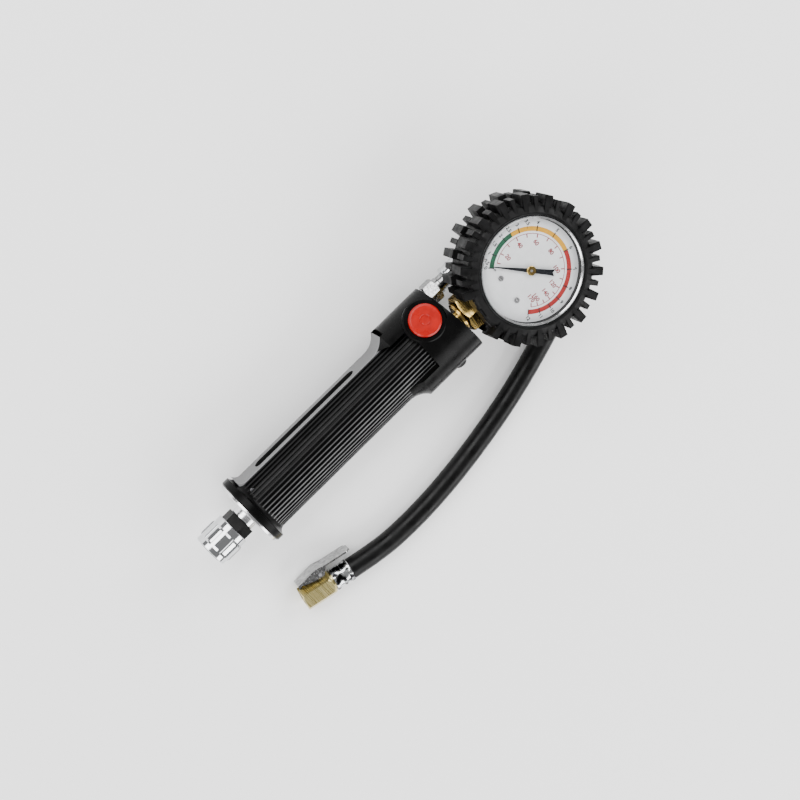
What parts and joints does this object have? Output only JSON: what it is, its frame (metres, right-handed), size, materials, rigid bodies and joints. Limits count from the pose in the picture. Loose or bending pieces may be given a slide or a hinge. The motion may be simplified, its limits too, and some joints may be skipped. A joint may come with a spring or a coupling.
{
  "type": "tyre inflator",
  "caption": "Hand-held tyre inflator: ribbed handle with squeeze lever and red release button, dial gauge in a rubber boot, short hose with a clip-on tyre chuck.",
  "frame": {"origin": "middle of the air inlet's mouth, on the handle's axis", "axes": "+X along the handle towards the gauge, +Z out of the dial, +Y towards the squeeze lever"},
  "size_m": [0.2825, 0.1283, 0.0563],
  "materials": {
    "black_plastic": "satin moulded",
    "black_plug": "matt",
    "boot_rubber": "matt",
    "brass": "machined",
    "bright_steel": "bright machined",
    "case_metal": "painted",
    "chrome": "polished",
    "clear_window": "clear",
    "dark_ring": "blackened",
    "dial_face": "silvery white",
    "grey_lever": "satin",
    "hose_rubber": "satin",
    "pointer_black": "satin",
    "red_plastic": "satin",
    "seal_rubber": "matt",
    "spring_steel": "satin",
    "tube_aluminium": "machined"
  },
  "bodies": {
    "frame": {"coupler_body": "bright_steel", "locking_balls": "bright_steel", "coupler_seal": "seal_rubber", "retaining_ring": "spring_steel", "sleeve_spring": "spring_steel", "inlet_adapter": "bright_steel", "end_plate": "bright_steel", "core_tube": "tube_aluminium", "handle_body": "black_plastic", "head_cap": "black_plastic", "cap_screws": "spring_steel", "lever_pin": "spring_steel", "lever_spring": "spring_steel", "inflate_spring": "spring_steel", "valve_plug": "black_plug", "deflate_seal": "seal_rubber", "button_spring": "spring_steel", "gauge_case": "case_metal", "gauge_bezel": "chrome", "gauge_glass": "clear_window", "glass_gasket": "seal_rubber", "gauge_stem": "brass", "gauge_nut": "brass", "gauge_washer": "dark_ring", "gauge_nipple": "brass", "bourdon_tube": "brass", "movement_frame": "brass", "dial": "dial_face", "dial_screws": "bright_steel", "stop_pin": "bright_steel", "gauge_boot": "boot_rubber", "hose": "hose_rubber", "hose_fitting": "brass", "head_ferrule": "chrome", "chuck_body": "brass", "chuck_seal": "seal_rubber", "valve_depressor": "brass", "chuck_ferrule": "chrome", "clip_pin": "spring_steel", "clip_spring": "spring_steel", "valve_block": "tube_aluminium"},
    "coupler_sleeve": {"coupler_sleeve": "chrome"},
    "lever": {"squeeze_lever": "grey_lever"},
    "inflate_valve": {"inflate_stem": "brass", "inflate_seal": "seal_rubber"},
    "button": {"deflate_button": "red_plastic", "deflate_stem": "brass"},
    "sector": {"sector_gear": "brass"},
    "link": {"tube_link": "spring_steel"},
    "pointer": {"pointer_shaft": "bright_steel", "pointer": "pointer_black", "pointer_hub": "brass"},
    "clip": {"chuck_clip": "chrome"}
  },
  "joints": [
    {"name": "lever_squeeze", "type": "hinge", "parent": "frame", "child": "lever", "pos_m": [0.0415, 0.0126, 0], "axis": [0, 0, -1], "range_deg": [0, 1.4], "stiffness_Nm_per_rad": 8, "springref_deg": -2.86, "deforming": ["lever_spring"]},
    {"name": "inflate_slide", "type": "slide", "parent": "frame", "child": "inflate_valve", "axis": [0, -1, 0], "range_m": [0, 0.0035], "deforming": ["inflate_spring"]},
    {"name": "button_press", "type": "slide", "parent": "frame", "child": "button", "axis": [0, -0.342, -0.9397], "range_m": [0, 0.003], "stiffness_N_per_m": 800, "springref_m": -0.001, "deforming": ["button_spring"]},
    {"name": "sleeve_slide", "type": "slide", "parent": "frame", "child": "coupler_sleeve", "axis": [1, 0, 0], "range_m": [0, 0.004], "stiffness_N_per_m": 900, "springref_m": -0.001, "deforming": ["sleeve_spring"]},
    {"name": "sector_turn", "type": "hinge", "parent": "frame", "child": "sector", "pos_m": [0.22323, -0.00912, 0.0155], "axis": [0, 0, 1], "range_deg": [0, 37.5], "stiffness_Nm_per_rad": 0.002, "springref_deg": -2.86},
    {"name": "link_turn", "type": "hinge", "parent": "sector", "child": "link", "pos_m": [0.22039, -0.01551, 0.0155], "axis": [0, 0, 1], "range_deg": [-37.5, 0]},
    {"name": "pointer_turn", "type": "hinge", "parent": "frame", "child": "pointer", "pos_m": [0.239, -0.0046, 0.026], "axis": [0, 0, -1], "range_deg": [0, 270]},
    {"name": "clip_press", "type": "hinge", "parent": "frame", "child": "clip", "pos_m": [0.03465, -0.06346, -0.0174], "axis": [0, 0, -1], "range_deg": [0, 11], "stiffness_Nm_per_rad": 0.4, "springref_deg": -5.73}
  ],
  "couplings": [
    {"joint": "inflate_slide", "follows": "lever_squeeze", "m_per_rad": 0.1365},
    {"joint": "pointer_turn", "follows": "sector_turn", "ratio": 7.2},
    {"joint": "link_turn", "follows": "sector_turn", "ratio": -1}
  ]
}
